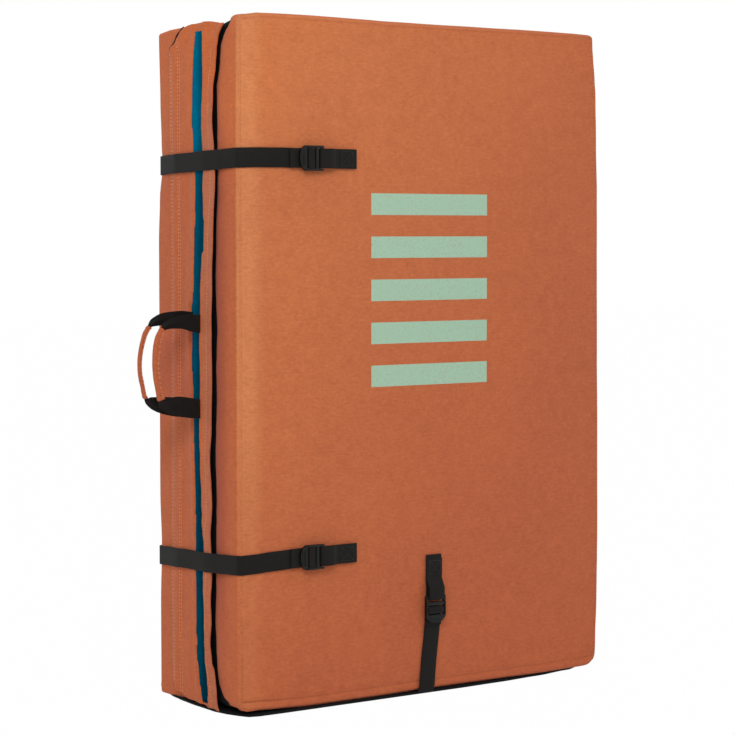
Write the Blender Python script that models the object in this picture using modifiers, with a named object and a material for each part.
"""Bouldering crash pad, folded and strapped shut, standing on its end.

Two foam halves are joined by a fabric hinge along one long side.  The opening
side carries a closure flap with two carry handles, and webbing straps with
hook buckles hold the pad shut.  A harness for the shoulders is on the back.

Frame: origin at the centre of the face it stands on, +Z up, the front face
towards -Y, the opening side towards -X and the fabric hinge at +X.  Metres.
"""
import math

import bmesh
import bpy
from mathutils import Matrix, Vector

# Driving dimensions of the folded pad
pad_width = 0.595
pad_depth = 0.203
pad_height = 0.890
fold_gap = 0.003
hinge_gap = 0.002
touch_gap = 0.0003
rest_gap = 0.0006

# Covers and foam
front_shell_depth = 0.052
rear_shell_depth = 0.098
fabric_wall = 0.002
edge_radius = 0.010
face_crown = 0.007
side_bulge = 0.0015
firm_foam_depth = 0.025
hinge_leaf_width = 0.060
hinge_leaf_inset = 0.020

# Corners where the black cover shows under the cut back shell
low_corner_height = 0.054
low_corner_depth = 0.048
low_corner_power = 2.0
top_corner_height = 0.090
top_corner_depth = 0.046
top_corner_power = 1.5
corner_cut_reach = 0.040

# Flap over the opening side, and its accent strip
flap_front_edge = -0.0455
flap_top_flare = 0.030
flap_low_flare = 0.010
flap_flare_power = 14
flap_fold_edge = 0.042
flap_sewn_edge = 0.064
flap_thickness = 0.0035
flap_low_end = 0.0012
flap_top_end = 0.882
flap_corner_radius = 0.026
accent_front_edge = -0.0180
accent_rear_edge = 0.0010
accent_thickness = 0.001
accent_end_inset = 0.010

# Flap under both halves
base_thickness = 0.006
base_side_inset = 0.004
base_front_reach = 0.002
base_edge_radius = 0.0015
base_left_radius = 0.025
base_right_radius = 0.075

# Webbing and hook buckles, made for webbing one inch wide
webbing_width = 0.025
webbing_thickness = 0.0015
buckle_height = 0.032
buckle_thickness = 0.004
buckle_corner = 0.004
tab_length = 0.0105
tab_nose_share = 0.8
tab_nose_power = 3
slot_length = 0.0045
slot_height = 0.0262
slot_corner = 0.001
middle_bar = 0.004
back_bar = 0.0045
hook_slot_length = 0.005
hook_bar = 0.0034
hook_notch = 0.006
hook_play = 0.0009
buckle_tail = 0.012

# Where the straps and anchors lie
upper_strap_height = 0.7095
upper_strap_drop = 0.007
lower_strap_height = 0.1995
lower_strap_drop = 0.013
hook_bar_from_edge = 0.1192
anchor_length = 0.056
anchor_fold_back = 0.005
anchor_foot_bend_share = 0.40
anchor_turn_share = 0.22
anchor_back_bend_share = 0.44
strap_rear_length = 0.083
strap_rear_shares = (0.0, 0.3, 0.6)
strap_front_share = 0.5
strap_front_bend = 0.040
bottom_strap_from_edge = 0.3000
bottom_hook_height = 0.1305
bottom_anchor_top = 0.187
bottom_strap_shares = (0.35, 0.55, 0.8)

# Carry handles on the flap
handle_height = 0.443
handle_arm_spread = 0.0555
handle_arm_height = 0.0235
handle_webbing_width = 0.011
handle_webbing_thickness = 0.002
near_handle_reach = 0.076
far_handle_reach = 0.084
handle_outer_radius = 0.029
handle_inner_radius = 0.006
grip_length = 0.074
grip_depth = 0.017
grip_thickness = 0.011
grip_end_radius = 0.0012
grip_bore_play = 0.0004

# Harness on the rear face
strap_pad_width = 0.062
strap_pad_end_width = 0.042
strap_pad_thickness = 0.010
strap_pad_radius = 0.004
strap_pad_length = 0.325
strap_under_yoke = 0.060
strap_top_offset = 0.072
strap_bottom_offset = 0.118
strap_arch = 0.026
strap_end_lift = 0.004
strap_loop_overlap = 0.050
strap_loop_tuck_share = 0.12
strap_loop_shares = (0.25, 0.5, 0.75, 1.0)
ladder_bar_drop = 0.022
yoke_width = 0.250
yoke_height = 0.100
yoke_from_top = 0.280
patch_width = 0.060
patch_height = 0.050
patch_bottom = 0.105
patch_seam_share = 0.2
haul_loop_span = 0.060
haul_loop_rise = 0.030
haul_loop_foot = 0.024
haul_loop_height_share = 0.83
haul_shoulder_shares = (0.9, 0.7)
haul_crest_share = 0.45
haul_corner_share = 0.2
panel_corner_radius = 0.010

# Meshing counts
face_columns = 6
face_rows = 8
side_columns = 2
round_steps = 3
arc_steps = 6
flap_edge_steps = 18
grip_sides = 16
strap_pad_rows = 10

# Sizes that follow from the driving dimensions
half_width = pad_width / 2
half_depth = pad_depth / 2
slab_half_width = half_width - hinge_gap / 2
slab_bottom = base_thickness + touch_gap
landing_plane = fold_gap / 2
cover_inset = fabric_wall + touch_gap
foam_inset = 2 * cover_inset
opening_plane = -(slab_half_width + side_bulge)
flap_inner = opening_plane - touch_gap
flap_outer = flap_inner - flap_thickness
half_webbing = webbing_thickness / 2
hook_axis_lift = rest_gap + 2 * webbing_thickness + 2 * touch_gap + buckle_thickness / 2
hook_bar_to_tail_slot = (hook_bar / 2 + hook_slot_length + back_bar + slot_length
                         + middle_bar + slot_length / 2)
hook_bar_to_lead_slot = hook_bar / 2 + hook_slot_length + back_bar + slot_length / 2
tab_end = hook_bar_to_tail_slot + slot_length / 2 + tab_length
yoke_bottom = pad_height - yoke_from_top
strap_pad_top = yoke_bottom + strap_under_yoke
strap_pad_bottom = strap_pad_top - strap_pad_length
haul_loop_height = yoke_bottom + yoke_height * haul_loop_height_share

for old in list(bpy.data.objects):
    bpy.data.objects.remove(old, do_unlink=True)

pad_parts = bpy.data.collections.new("bouldering_crash_pad")
cutters = bpy.data.collections.new("cutters")
bpy.context.scene.collection.children.link(pad_parts)
bpy.context.scene.collection.children.link(cutters)


def make_material(name, color, roughness, metallic=0.0):
    made = bpy.data.materials.new(name)
    made.use_nodes = True
    shader = made.node_tree.nodes["Principled BSDF"]
    shader.inputs["Base Color"].default_value = (*color, 1.0)
    shader.inputs["Roughness"].default_value = roughness
    shader.inputs["Metallic"].default_value = metallic
    return made


orange_fabric = make_material("orange_fabric", (0.55, 0.16, 0.055), 0.85)
black_fabric = make_material("black_fabric", (0.012, 0.012, 0.013), 0.8)
teal_fabric = make_material("teal_fabric", (0.0, 0.11, 0.2), 0.7)
black_webbing = make_material("black_webbing", (0.016, 0.016, 0.018), 0.7)
black_plastic = make_material("black_plastic", (0.02, 0.018, 0.017), 0.45)
soft_foam = make_material("soft_foam", (0.75, 0.72, 0.6), 0.95)
firm_foam = make_material("firm_foam", (0.05, 0.05, 0.055), 0.8)


# Building helpers

def add_piece(name, mesh, material, place=None, group=None):
    """Link a mesh as one named piece, at the given matrix."""
    piece = bpy.data.objects.new(name, mesh)
    (group or pad_parts).objects.link(piece)
    if place is not None:
        piece.matrix_world = place
    if material is not None:
        mesh.materials.clear()
        mesh.materials.append(material)
    return piece


def mesh_from(bm, name):
    bmesh.ops.recalc_face_normals(bm, faces=bm.faces[:])
    mesh = bpy.data.meshes.new(name)
    bm.to_mesh(mesh)
    bm.free()
    return mesh


def add_bevel(piece, width, segments=round_steps, angle=math.radians(40)):
    bevel = piece.modifiers.new("rounded_edges", "BEVEL")
    bevel.width = width
    bevel.segments = segments
    bevel.limit_method = "ANGLE"
    bevel.angle_limit = angle
    return bevel


def add_wall(piece, thickness, offset):
    wall = piece.modifiers.new("wall", "SOLIDIFY")
    wall.thickness = thickness
    wall.offset = offset
    wall.use_even_offset = True
    return wall


def add_cut(piece, cutter):
    cut = piece.modifiers.new("cut", "BOOLEAN")
    cut.operation = "DIFFERENCE"
    cut.solver = "EXACT"
    cut.object = cutter
    return cut


def hide_cutter(piece):
    piece.display_type = "WIRE"
    piece.hide_render = True


def box_mesh(name, low, high, cuts=(0, 0, 0)):
    """A cube primitive stretched between two corners, cut across each axis."""
    bm = bmesh.new()
    bmesh.ops.create_cube(bm, size=1.0)
    size = Vector(high) - Vector(low)
    middle = (Vector(high) + Vector(low)) / 2
    bmesh.ops.scale(bm, vec=size, verts=bm.verts[:])
    bmesh.ops.translate(bm, vec=middle, verts=bm.verts[:])
    for axis, count in enumerate(cuts):
        if count:
            along = [edge for edge in bm.edges
                     if abs((edge.verts[0].co - edge.verts[1].co).normalized()[axis]) > 0.99]
            bmesh.ops.subdivide_edges(bm, edges=along, cuts=count, use_grid_fill=True)
    return bm


def fillet(points, radius, steps=arc_steps, closed=False):
    """Round the corners of a flat outline, each limited by its own sides."""
    rounded = []
    count = len(points)
    for index, corner in enumerate(points):
        corner = Vector(corner)
        if not closed and index in (0, count - 1):
            rounded.append(corner)
            continue
        before = Vector(points[index - 1]) - corner
        after = Vector(points[(index + 1) % count]) - corner
        opening = before.angle(after)
        if opening > math.radians(177):
            rounded.append(corner)
            continue
        reach = min(radius / math.tan(opening / 2), 0.49 * before.length, 0.49 * after.length)
        arc_radius = reach * math.tan(opening / 2)
        centre = corner + (before.normalized() + after.normalized()).normalized() * (
            arc_radius / math.sin(opening / 2))
        start = corner + before.normalized() * reach - centre
        end = corner + after.normalized() * reach - centre
        turn = start.angle(end)
        for step in range(steps + 1):
            share = step / steps
            rounded.append(centre + (start * math.sin((1 - share) * turn)
                                     + end * math.sin(share * turn)) / math.sin(turn))
    return rounded


def flat_mesh(name, outlines, thickness):
    """Closed outlines in the XY plane, holes included, made a plate."""
    curve = bpy.data.curves.new(name, "CURVE")
    curve.dimensions = "2D"
    curve.fill_mode = "BOTH"
    curve.extrude = thickness / 2
    for outline in outlines:
        spline = curve.splines.new("POLY")
        spline.points.add(len(outline) - 1)
        for point, place in zip(spline.points, outline):
            point.co = (place[0], place[1], 0.0, 1.0)
        spline.use_cyclic_u = True
    source = bpy.data.objects.new(name, curve)
    cutters.objects.link(source)
    bpy.context.view_layer.update()
    ready = source.evaluated_get(bpy.context.evaluated_depsgraph_get())
    mesh = bpy.data.meshes.new_from_object(ready)
    bpy.data.objects.remove(source, do_unlink=True)
    bm = bmesh.new()
    bm.from_mesh(mesh)
    bmesh.ops.remove_doubles(bm, verts=bm.verts[:], dist=touch_gap / 10)
    bmesh.ops.recalc_face_normals(bm, faces=bm.faces[:])
    bm.to_mesh(mesh)
    bm.free()
    return mesh


def ribbon(name, path, across, material, origin=None, width=webbing_width,
           thickness=webbing_thickness):
    """A strip of webbing that follows a path, its width lying along one direction."""
    origin = Vector(origin or (0, 0, 0))
    across = Vector(across) * width
    bm = bmesh.new()
    row = [bm.verts.new(Vector(point) - origin - across / 2) for point in path]
    edges = [bm.edges.new(pair) for pair in zip(row, row[1:])]
    swept = bmesh.ops.extrude_edge_only(bm, edges=edges)["geom"]
    bmesh.ops.translate(bm, vec=across, verts=[v for v in swept if isinstance(v, bmesh.types.BMVert)])
    piece = add_piece(name, mesh_from(bm, name), material, Matrix.Translation(origin))
    add_wall(piece, thickness, 0.0)
    return piece


def face_frame(origin, along, outward):
    """Matrix with local X along, local Z outward, for a plate lying on a face."""
    along = Vector(along)
    outward = Vector(outward)
    sideways = outward.cross(along)
    turned = Matrix((along, sideways, outward)).transposed().to_4x4()
    return Matrix.Translation(Vector(origin)) @ turned


# The crowned outer faces

def crown_share(x, z):
    """How far the stuffed face stands out here, from 0 at its edge to 1."""
    across = min(abs(x) / slab_half_width, 1.0)
    slab_middle = (pad_height + slab_bottom) / 2
    up = min(abs(z - slab_middle) / (pad_height - slab_middle), 1.0)
    return (1 - across ** 4) * (1 - up ** 4)


def on_face(side, x, z, lift):
    """A point over the outer face of one half; side is -1 at the front and 1 at the rear."""
    return Vector((x, side * (half_depth + face_crown * crown_share(x, z) + lift), z))


def stuffed_form(bm, side, low, high, crown, bulge):
    """Push a cut box out into a stuffed cushion: crowned face, full sides."""
    middle = (Vector(low) + Vector(high)) / 2
    reach = (Vector(high) - Vector(low)) / 2
    outer = side * max(abs(low[1]), abs(high[1]))
    for vert in bm.verts:
        share = [(vert.co[axis] - middle[axis]) / reach[axis] for axis in range(3)]
        full = [1 - min(abs(value), 1.0) ** 4 for value in share]
        if abs(vert.co.y - outer) < touch_gap:
            vert.co.y += side * crown * full[0] * full[2]
        elif share[0] < -0.999:
            vert.co.x -= bulge * full[1] * full[2]
        elif share[2] > 0.999:
            vert.co.z += bulge * full[0] * full[1]


def open_mouth(bm, mouth):
    """Take away the faces that lie on the mouth plane, so the box becomes a tray."""
    gone = [face for face in bm.faces
            if all(abs(vert.co.y - mouth) < touch_gap for vert in face.verts)]
    bmesh.ops.delete(bm, geom=gone, context="FACES")


def place_at(piece, origin):
    """Move a piece's origin without moving its surface."""
    piece.data.transform(Matrix.Translation(-Vector(origin)))
    piece.location = origin


# Where each moving body turns
fold_axis = Vector((half_width, 0.0, 0.0))
flap_axis = Vector((flap_outer, flap_fold_edge, (flap_low_end + flap_top_end) / 2))
base_axis = Vector((0.0, half_depth, base_thickness))


def shell_corner_cut(piece, side, height, depth, power, top):
    """Cut a shell's corner back along a curve seen from the opening side."""
    seam = side * (half_depth - front_shell_depth)
    edge = pad_height if top else slab_bottom
    inward = -1 if top else 1
    bm = bmesh.new()
    steps = 2 * arc_steps
    rim = []
    for step in range(steps + 1):
        turn = math.pi / 2 * step / steps
        y = seam + side * depth * (1 - max(math.cos(turn), 0.0) ** (2 / power))
        z = edge + inward * height * (1 - math.sin(turn) ** (2 / power))
        rim.append(bm.verts.new((0.0, y, z)))
    behind = seam - side * edge_radius
    beyond = edge - inward * edge_radius
    rim.append(bm.verts.new((0.0, rim[-1].co.y, beyond)))
    rim.append(bm.verts.new((0.0, behind, beyond)))
    rim.append(bm.verts.new((0.0, behind, rim[0].co.z)))
    face = bm.faces.new(rim)
    grown = bmesh.ops.extrude_face_region(bm, geom=[face])["geom"]
    bmesh.ops.translate(bm, vec=(corner_cut_reach + edge_radius, 0.0, 0.0),
                        verts=[v for v in grown if isinstance(v, bmesh.types.BMVert)])
    cutter = add_piece(piece.name + "_corner_cut", mesh_from(bm, "corner_cut"), None, group=cutters)
    cutter.location.x = -slab_half_width - edge_radius
    hide_cutter(cutter)
    add_cut(piece, cutter)


# One half of the pad

def shell(name, side, depth, origin):
    """Orange outer shell: a crowned tray that opens towards the fold."""
    outer = side * half_depth
    mouth = side * (half_depth - depth)
    low = (-slab_half_width, min(outer, mouth), slab_bottom)
    high = (slab_half_width, max(outer, mouth), pad_height)
    bm = box_mesh(name, low, high, (face_columns - 1, side_columns - 1, face_rows - 1))
    open_mouth(bm, mouth)
    stuffed_form(bm, side, low, high, face_crown, side_bulge)
    piece = add_piece(name, mesh_from(bm, name), orange_fabric)
    add_bevel(piece, edge_radius)
    add_wall(piece, fabric_wall, -1.0)
    place_at(piece, origin)
    return piece


def landing_cover(name, side, origin):
    """Black landing cover: a flat tray whose skirt runs up inside the orange shell."""
    plane = side * landing_plane
    mouth = side * (half_depth - cover_inset - edge_radius)
    low = (-slab_half_width + cover_inset, min(plane, mouth), slab_bottom + cover_inset)
    high = (slab_half_width - cover_inset, max(plane, mouth), pad_height - cover_inset)
    bm = box_mesh(name, low, high)
    open_mouth(bm, mouth)
    piece = add_piece(name, mesh_from(bm, name), black_fabric)
    add_bevel(piece, edge_radius - cover_inset)
    add_wall(piece, fabric_wall, -1.0)
    place_at(piece, origin)
    return piece


def firm_foam_sheet(name, side, origin):
    """Closed cell sheet right under the landing face."""
    near = side * (landing_plane + cover_inset)
    far = near + side * firm_foam_depth
    low = (-slab_half_width + foam_inset, min(near, far), slab_bottom + foam_inset)
    high = (slab_half_width - foam_inset, max(near, far), pad_height - foam_inset)
    piece = add_piece(name, mesh_from(box_mesh(name, low, high), name), firm_foam)
    add_bevel(piece, edge_radius - cover_inset)
    place_at(piece, origin)
    return piece


def soft_foam_block(name, side, origin):
    """Open cell block that fills the rest of the half and gives the face its crown."""
    near = side * (landing_plane + cover_inset + firm_foam_depth + touch_gap)
    outer = side * (half_depth - cover_inset)
    low = (-slab_half_width + foam_inset, min(near, outer), slab_bottom + foam_inset)
    high = (slab_half_width - foam_inset, max(near, outer), pad_height - foam_inset)
    bm = box_mesh(name, low, high, (face_columns - 1, 0, face_rows - 1))
    stuffed_form(bm, side, low, high, face_crown, 0.0)
    piece = add_piece(name, mesh_from(bm, name), soft_foam)
    add_bevel(piece, edge_radius - cover_inset)
    place_at(piece, origin)
    return piece


def hinge_leaf(name, side, origin):
    """Half of the fabric hinge, sewn flat on the landing face up to the fold line."""
    near = side * touch_gap
    far = side * (landing_plane - touch_gap)
    low = (half_width - touch_gap - hinge_leaf_width, min(near, far), slab_bottom + hinge_leaf_inset)
    high = (half_width - touch_gap, max(near, far), pad_height - hinge_leaf_inset)
    piece = add_piece(name, mesh_from(box_mesh(name, low, high), name), black_fabric)
    place_at(piece, origin)
    return piece


def pad_half(name, side, depth, origin):
    outer_shell = shell(name + "_shell", side, depth, origin)
    landing_cover(name + "_landing_cover", side, origin)
    firm_foam_sheet(name + "_closed_cell_foam", side, origin)
    soft_foam_block(name + "_open_cell_foam", side, origin)
    hinge_leaf(name + "_hinge_leaf", side, origin)
    return outer_shell


pad_half("rear", 1, rear_shell_depth, Vector((0, 0, 0)))
front_shell = pad_half("front", -1, front_shell_depth, fold_axis)
shell_corner_cut(front_shell, -1, low_corner_height, low_corner_depth, low_corner_power, top=False)
shell_corner_cut(front_shell, -1, top_corner_height, top_corner_depth, top_corner_power, top=True)


# Flap over the opening side

def side_flap():
    """Closure flap that folds at its seam on the rear half, with a teal strip."""
    rear_corners = fillet([(flap_front_edge, flap_low_end), (flap_fold_edge, flap_low_end),
                           (flap_fold_edge, flap_top_end), (flap_front_edge, flap_top_end)],
                          flap_corner_radius)[1:-1]
    half_length = (flap_top_end - flap_low_end) / 2
    free_edge = []
    for step in range(flap_edge_steps + 1):
        share = math.sin(math.pi / 2 * (1 - 2 * step / flap_edge_steps))
        flare = flap_top_flare if share > 0 else flap_low_flare
        free_edge.append(Vector((flap_front_edge - flare * abs(share) ** flap_flare_power,
                                 flap_low_end + half_length * (1 + share))))
    outline = rear_corners + free_edge
    middle = (flap_inner + flap_outer) / 2
    panel = add_piece("side_flap_panel", flat_mesh("side_flap_panel", [outline], flap_thickness),
                      orange_fabric, face_frame((middle, 0, 0), (0, 1, 0), (1, 0, 0)))
    bake_place(panel, flap_axis)
    low = (flap_outer - touch_gap - accent_thickness, accent_front_edge, flap_low_end + accent_end_inset)
    high = (flap_outer - touch_gap, accent_rear_edge, flap_top_end - accent_end_inset)
    strip = add_piece("side_flap_accent_strip",
                      mesh_from(box_mesh("accent", low, high), "side_flap_accent_strip"), teal_fabric)
    place_at(strip, flap_axis)
    low = (flap_outer, flap_fold_edge + touch_gap, flap_low_end + flap_corner_radius)
    high = (flap_inner, flap_sewn_edge, flap_top_end - flap_corner_radius)
    root = add_piece("side_flap_root", mesh_from(box_mesh("root", low, high), "side_flap_root"),
                     orange_fabric)
    add_bevel(root, flap_thickness / 4, segments=1)


def bake_place(piece, origin):
    """Write a turned piece's placing into its mesh, then give it a new origin."""
    bpy.context.view_layer.update()
    piece.data.transform(piece.matrix_world)
    piece.matrix_world = Matrix.Identity(4)
    place_at(piece, origin)


side_flap()


# Carry handles

def carry_handle(name, reach, y):
    """A flat webbing loop that stands out of the flap, with a sewn fabric grip."""
    axis = Vector((flap_outer - touch_gap - handle_webbing_thickness / 2, y, handle_height))
    outer = reach - (grip_depth - handle_webbing_width) / 2
    inner = outer - handle_webbing_width
    high = handle_arm_spread + handle_arm_height / 2
    low = handle_arm_spread - handle_arm_height / 2
    outside = fillet([(0.0, high), (outer, high), (outer, 0.0)], handle_outer_radius, 2 * arc_steps)[:-1]
    inside = fillet([(0.0, low), (inner, low), (inner, 0.0)], handle_inner_radius)[:-1]
    outline = outside + [Vector((p.x, -p.y)) for p in reversed(outside)]
    outline += [Vector((p.x, -p.y)) for p in inside] + list(reversed(inside))
    place = face_frame(axis, (-1, 0, 0), (0, 1, 0))
    loop = add_piece(name + "_webbing", flat_mesh(name, [outline], handle_webbing_thickness),
                     black_webbing, place)
    bake_place(loop, axis)

    bm = bmesh.new()
    bmesh.ops.create_cone(bm, cap_ends=True, segments=grip_sides, radius1=0.5, radius2=0.5, depth=1.0)
    bmesh.ops.scale(bm, vec=(grip_depth, grip_thickness, grip_length), verts=bm.verts[:])
    grip = add_piece(name + "_grip", mesh_from(bm, name + "_grip"), orange_fabric)
    grip.location = axis + Vector((-(inner + outer) / 2, 0, 0))
    add_bevel(grip, grip_end_radius, segments=2, angle=math.radians(50))
    bake_place(grip, axis)
    bore = box_mesh(name, (-(outer + grip_bore_play), -handle_webbing_thickness / 2 - grip_bore_play,
                           -grip_length), (-(inner - grip_bore_play),
                                           handle_webbing_thickness / 2 + grip_bore_play, grip_length))
    cutter = add_piece(name + "_bore", mesh_from(bore, name + "_bore"), None, group=cutters)
    cutter.location = axis
    hide_cutter(cutter)
    add_cut(grip, cutter)
    return axis


handle_side_play = touch_gap + handle_webbing_thickness / 2
near_handle_axis = carry_handle("near_handle", near_handle_reach, accent_front_edge - handle_side_play)
far_handle_axis = carry_handle("far_handle", far_handle_reach, accent_rear_edge + handle_side_play)


# Flap under both halves

def bottom_flap():
    """Thin padded flap that closes the lower end; it is the face the pad stands on."""
    left = -slab_half_width + base_side_inset
    right = slab_half_width - base_side_inset
    front = -half_depth - base_front_reach
    rear = half_depth
    outline = [Vector((right, rear)), Vector((left, rear))]
    outline += fillet([(left, rear), (left, front), (right, front)], base_left_radius)[1:-1]
    outline += fillet([(left, front), (right, front), (right, rear)], base_right_radius)[1:-1]
    panel = add_piece("bottom_flap_panel", flat_mesh("bottom_flap", [outline], base_thickness),
                      black_fabric, Matrix.Translation((0, 0, base_thickness / 2)))
    bake_place(panel, base_axis)
    add_bevel(panel, base_edge_radius, segments=1, angle=math.radians(60))


bottom_flap()


# Hook buckles, their straps and their anchor loops

def rectangle(low_u, high_u, height):
    return [(low_u, -height / 2), (high_u, -height / 2), (high_u, height / 2), (low_u, height / 2)]


def buckle_outlines(hooked):
    """Outline and slots of a flat buckle.  Local origin on the anchor bar, tab towards -X."""
    end = hook_bar / 2
    half = buckle_height / 2
    slot_half = slot_height / 2
    slot_back = -end - hook_slot_length
    shoulder = -tab_end + tab_length * tab_nose_share
    nose = []
    for step in range(-arc_steps, arc_steps + 1):
        share = step / arc_steps
        nose.append((-tab_end + (shoulder + tab_end) * abs(share) ** tab_nose_power, share * -half))
    body = []
    if hooked:
        # the bar is free at its lower end, where the loop slips on
        body += [(end, -half), (end, -half + slot_corner * 2), (-end, -slot_half),
                 (slot_back, -slot_half), (slot_back, slot_half), (-end, slot_half),
                 (-end, -slot_half + hook_notch), (end, -slot_half + hook_notch - slot_corner)]
    else:
        body += [(end, -half)]
    body += [(end, half)] + nose
    outlines = [fillet(body, buckle_corner if not hooked else slot_corner, steps=2, closed=True)]
    for centre in (hook_bar_to_tail_slot, hook_bar_to_lead_slot):
        slot = rectangle(-centre - slot_length / 2, -centre + slot_length / 2, slot_height)
        outlines.append(fillet(slot, slot_corner, steps=2, closed=True))
    if not hooked:
        slot = rectangle(slot_back, -end, slot_height)
        outlines.append(fillet(slot, slot_corner, steps=2, closed=True))
    return outlines


hook_mesh = flat_mesh("hook_buckle", buckle_outlines(True), buckle_thickness)
lock_mesh = flat_mesh("ladder_lock", buckle_outlines(False), buckle_thickness)


def threaded(place):
    """Path of a strap through a buckle, from its lead to its cut tail.

    place turns (distance before the anchor bar, lift from the buckle's middle) into a point.
    """
    over = buckle_thickness / 2 + touch_gap + half_webbing
    lead = over + webbing_thickness + touch_gap
    route = [(tab_end, -lead), (hook_bar_to_lead_slot, -lead), (hook_bar_to_lead_slot, over),
             (hook_bar_to_tail_slot, over), (hook_bar_to_tail_slot, -over), (tab_end + buckle_tail, -over)]
    route = fillet(route, 2 * half_webbing + touch_gap, steps=3)
    return [place(before, lift) for before, lift in route]


def anchor_path(place, top_length):
    """Path of an anchor loop: sewn foot, round the buckle's bar, and back over itself."""
    turn_radius = buckle_thickness / 2 + hook_play + half_webbing
    foot = hook_axis_lift - rest_gap - half_webbing
    doubled = foot - webbing_thickness - touch_gap
    path = [(-top_length, -foot), (-top_length * anchor_foot_bend_share, -foot),
            (-top_length * anchor_turn_share, -turn_radius)]
    steps = 2 * arc_steps
    arc = []
    for step in range(steps + 1):
        turn = math.pi * step / steps
        arc.append((turn_radius * math.sin(turn), -turn_radius * math.cos(turn)))
    path += arc
    path += [(-top_length * anchor_turn_share, turn_radius),
             (-top_length * anchor_back_bend_share, -doubled),
             (-top_length + anchor_fold_back, -doubled)]
    return [place(before, lift) for before, lift in path]


def front_buckle_set(name, hook_point, along, across, anchor_length_here):
    """Buckle and anchor loop on the front face; hook_point is (x, z) of the bar."""
    x, z = hook_point
    axis = on_face(-1, x, z, hook_axis_lift)
    along = Vector(along)

    def place(before, lift):
        level = axis - along * before
        if before < 0:
            level.y = on_face(-1, level.x, level.z, hook_axis_lift).y
        return level + Vector((0, -lift, 0))

    buckle = add_piece(name + "_buckle", hook_mesh.copy(), black_plastic,
                       face_frame(axis, along, (0, -1, 0)))
    bake_place(buckle, axis)
    ribbon(name + "_anchor_loop", anchor_path(place, anchor_length_here), across, black_webbing,
           origin=fold_axis)
    return axis, place


def closure_strap(name, height, drop):
    """Strap from the rear face round the opening side to a hook buckle on the front face.

    Its sewn end at the rear lies lower than the buckle, by the drop.
    """
    edge_x = -half_width
    bar_x = edge_x + hook_bar_from_edge
    axis, place = front_buckle_set(name, (bar_x, height), (1, 0, 0), (0, 0, 1), anchor_length)
    lift = rest_gap + half_webbing
    rear_end = edge_x + strap_rear_length
    corner_x = -slab_half_width - lift
    flap_x = flap_outer - accent_thickness - touch_gap - lift
    path = []
    rear_points = [rear_end + (corner_x - rear_end) * share for share in strap_rear_shares]
    path += [on_face(1, x, height, lift) for x in rear_points]
    bends = [path[-1], (corner_x, half_depth + lift, height), (flap_x, flap_sewn_edge, height),
             (flap_x, flap_front_edge, height), (corner_x, -half_depth - lift, height),
             on_face(-1, corner_x + strap_front_bend, height, lift)]
    path = path[:-1] + fillet(bends, edge_radius + lift, steps=4)
    last = -tab_end + bar_x
    path += [on_face(-1, path[-1].x + (last - path[-1].x) * strap_front_share, height, lift)]
    sloped = len(path)
    for index, point in enumerate(path):
        point.z -= drop * (1 - index / sloped)
    path += threaded(place)
    ribbon(name + "_strap", path, (0, 0, 1), black_webbing)
    return axis


upper_axis = closure_strap("upper", upper_strap_height, upper_strap_drop)
lower_axis = closure_strap("lower", lower_strap_height, lower_strap_drop)


def bottom_strap():
    """Short strap that pulls the bottom flap up over the front half."""
    x = -half_width + bottom_strap_from_edge
    axis, place = front_buckle_set("bottom", (x, bottom_hook_height), (0, 0, 1), (1, 0, 0),
                                   bottom_anchor_top - bottom_hook_height)
    lift = rest_gap + half_webbing
    front = -half_depth - base_front_reach - touch_gap - half_webbing
    path = [Vector((x, front, base_edge_radius)), Vector((x, front, base_thickness * 2))]
    low = bottom_hook_height - tab_end
    path += [on_face(-1, x, low * share, lift) for share in bottom_strap_shares]
    path += threaded(place)
    ribbon("bottom_strap", path, (1, 0, 0), black_webbing, origin=base_axis)
    return axis


bottom_axis = bottom_strap()


# Harness on the rear face

def face_panel(name, low, high, lift):
    """A sewn reinforcement panel lying on the rear face."""
    middle = ((low[0] + high[0]) / 2, (low[1] + high[1]) / 2)
    rise = face_crown * crown_share(*middle)
    outline = fillet([(low[0], low[1]), (high[0], low[1]), (high[0], high[1]), (low[0], high[1])],
                     panel_corner_radius, closed=True, steps=3)
    y = half_depth + rise + lift + half_webbing
    # local X is world X, local Y is world Z, local Z is world -Y
    turned = Matrix(((1, 0, 0), (0, 0, 1), (0, -1, 0))).transposed().to_4x4()
    piece = add_piece(name, flat_mesh(name, [outline], webbing_thickness), black_fabric,
                      Matrix.Translation((0, y, 0)) @ turned)
    bake_place(piece, (0, 0, 0))
    return y + half_webbing


def shoulder_strap(name, hand):
    """Padded strap, sewn under the yoke and arched off the face for the shoulder."""
    bm = box_mesh(name, (-0.5, -0.5, 0.0), (0.5, 0.5, 1.0), (1, 0, strap_pad_rows))
    for vert in bm.verts:
        down = 1 - vert.co.z
        width = strap_pad_width + (strap_pad_end_width - strap_pad_width) * down ** 3
        drift = down * down * (3 - 2 * down)
        x = hand * (strap_top_offset + (strap_bottom_offset - strap_top_offset) * drift)
        z = strap_pad_top - strap_pad_length * down
        start_lift = rest_gap + webbing_thickness + touch_gap
        lift = start_lift + (strap_end_lift - start_lift) * down + strap_arch * math.sin(math.pi * down)
        inner = on_face(1, x, z, lift)
        vert.co = Vector((x + vert.co.x * width, inner.y + (vert.co.y + 0.5) * strap_pad_thickness, z))
    piece = add_piece(name, mesh_from(bm, name), black_fabric)
    add_bevel(piece, strap_pad_radius, segments=2, angle=math.radians(50))
    return piece


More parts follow.
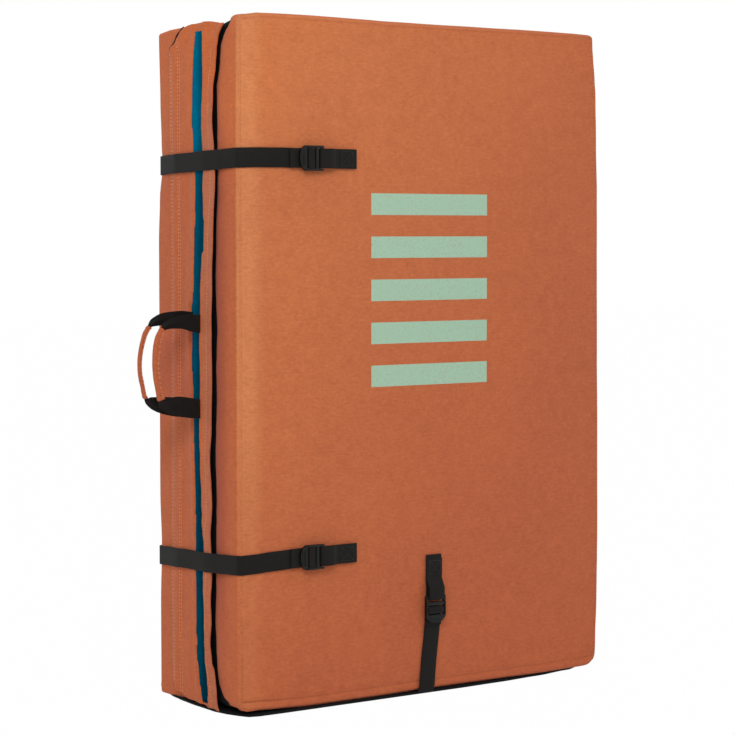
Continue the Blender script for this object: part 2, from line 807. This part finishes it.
def shoulder_side(prefix, hand):
    """One shoulder strap with its ladder lock, end loop, webbing and lower patch."""
    shoulder_strap(prefix + "_shoulder_strap", hand)
    x = hand * strap_bottom_offset
    bar_z = strap_pad_bottom - ladder_bar_drop
    strap_middle = strap_end_lift + strap_pad_thickness / 2
    bar = on_face(1, x, strap_pad_bottom, strap_middle)
    bar.z = bar_z
    lock = add_piece(prefix + "_ladder_lock", lock_mesh.copy(), black_plastic,
                     face_frame(bar, (0, 0, 1), (0, 1, 0)))
    bake_place(lock, (0, 0, 0))

    def place(before, lift):
        return bar + Vector((0, lift, -before))

    side_lift = strap_pad_thickness / 2 + touch_gap + half_webbing
    turn_radius = buckle_thickness / 2 + hook_play + half_webbing
    start = strap_pad_bottom - bar_z
    tuck = strap_loop_overlap * strap_loop_tuck_share
    path = [(-start - tuck, -side_lift - rest_gap), (-start, -side_lift - rest_gap)]
    steps = 2 * arc_steps
    for step in range(steps + 1):
        turn = math.pi * step / steps
        path.append((turn_radius * math.sin(turn), -turn_radius * math.cos(turn)))
    path += [(-start, side_lift + rest_gap)]
    for share in strap_loop_shares:
        up = strap_loop_overlap * share
        down = 1 - up / strap_pad_length
        z = strap_pad_bottom + up
        start_lift = rest_gap + webbing_thickness + touch_gap
        lift = (start_lift + (strap_end_lift - start_lift) * down
                + strap_arch * math.sin(math.pi * down) + strap_pad_thickness)
        outer = on_face(1, x, z, lift + rest_gap + half_webbing)
        path.append((bar_z - z, outer.y - bar.y))
    ribbon(prefix + "_strap_end_loop", [place(*pair) for pair in path], (1, 0, 0), black_webbing)

    low = (x - patch_width / 2, patch_bottom)
    high = (x + patch_width / 2, patch_bottom + patch_height)
    outer_y = face_panel(prefix + "_lower_patch", low, high, rest_gap)
    webbing_y = outer_y + touch_gap + half_webbing
    path = [Vector((x, webbing_y, patch_bottom + patch_height * patch_seam_share)),
            Vector((x, webbing_y, patch_bottom + patch_height))]
    path += threaded(place)
    ribbon(prefix + "_lower_webbing", path, (1, 0, 0), black_webbing)


def harness():
    low = (-yoke_width / 2, yoke_bottom)
    high = (yoke_width / 2, yoke_bottom + yoke_height)
    yoke_outer = face_panel("shoulder_yoke_panel", low, high, rest_gap)
    foot_y = yoke_outer + touch_gap + half_webbing
    half = haul_loop_span / 2
    shoulder = half * haul_shoulder_shares[0]
    shoulder_rise = haul_loop_rise * haul_shoulder_shares[1]
    crest = half * haul_crest_share
    path = [(-half - haul_loop_foot, 0.0), (-half, 0.0), (-shoulder, shoulder_rise),
            (-crest, haul_loop_rise), (crest, haul_loop_rise), (shoulder, shoulder_rise),
            (half, 0.0), (half + haul_loop_foot, 0.0)]
    path = fillet(path, haul_loop_rise * haul_corner_share, steps=3)
    ribbon("haul_loop", [Vector((p[0], foot_y + p[1], haul_loop_height)) for p in path],
           (0, 0, 1), black_webbing)
    shoulder_side("left", -1)
    shoulder_side("right", 1)


harness()
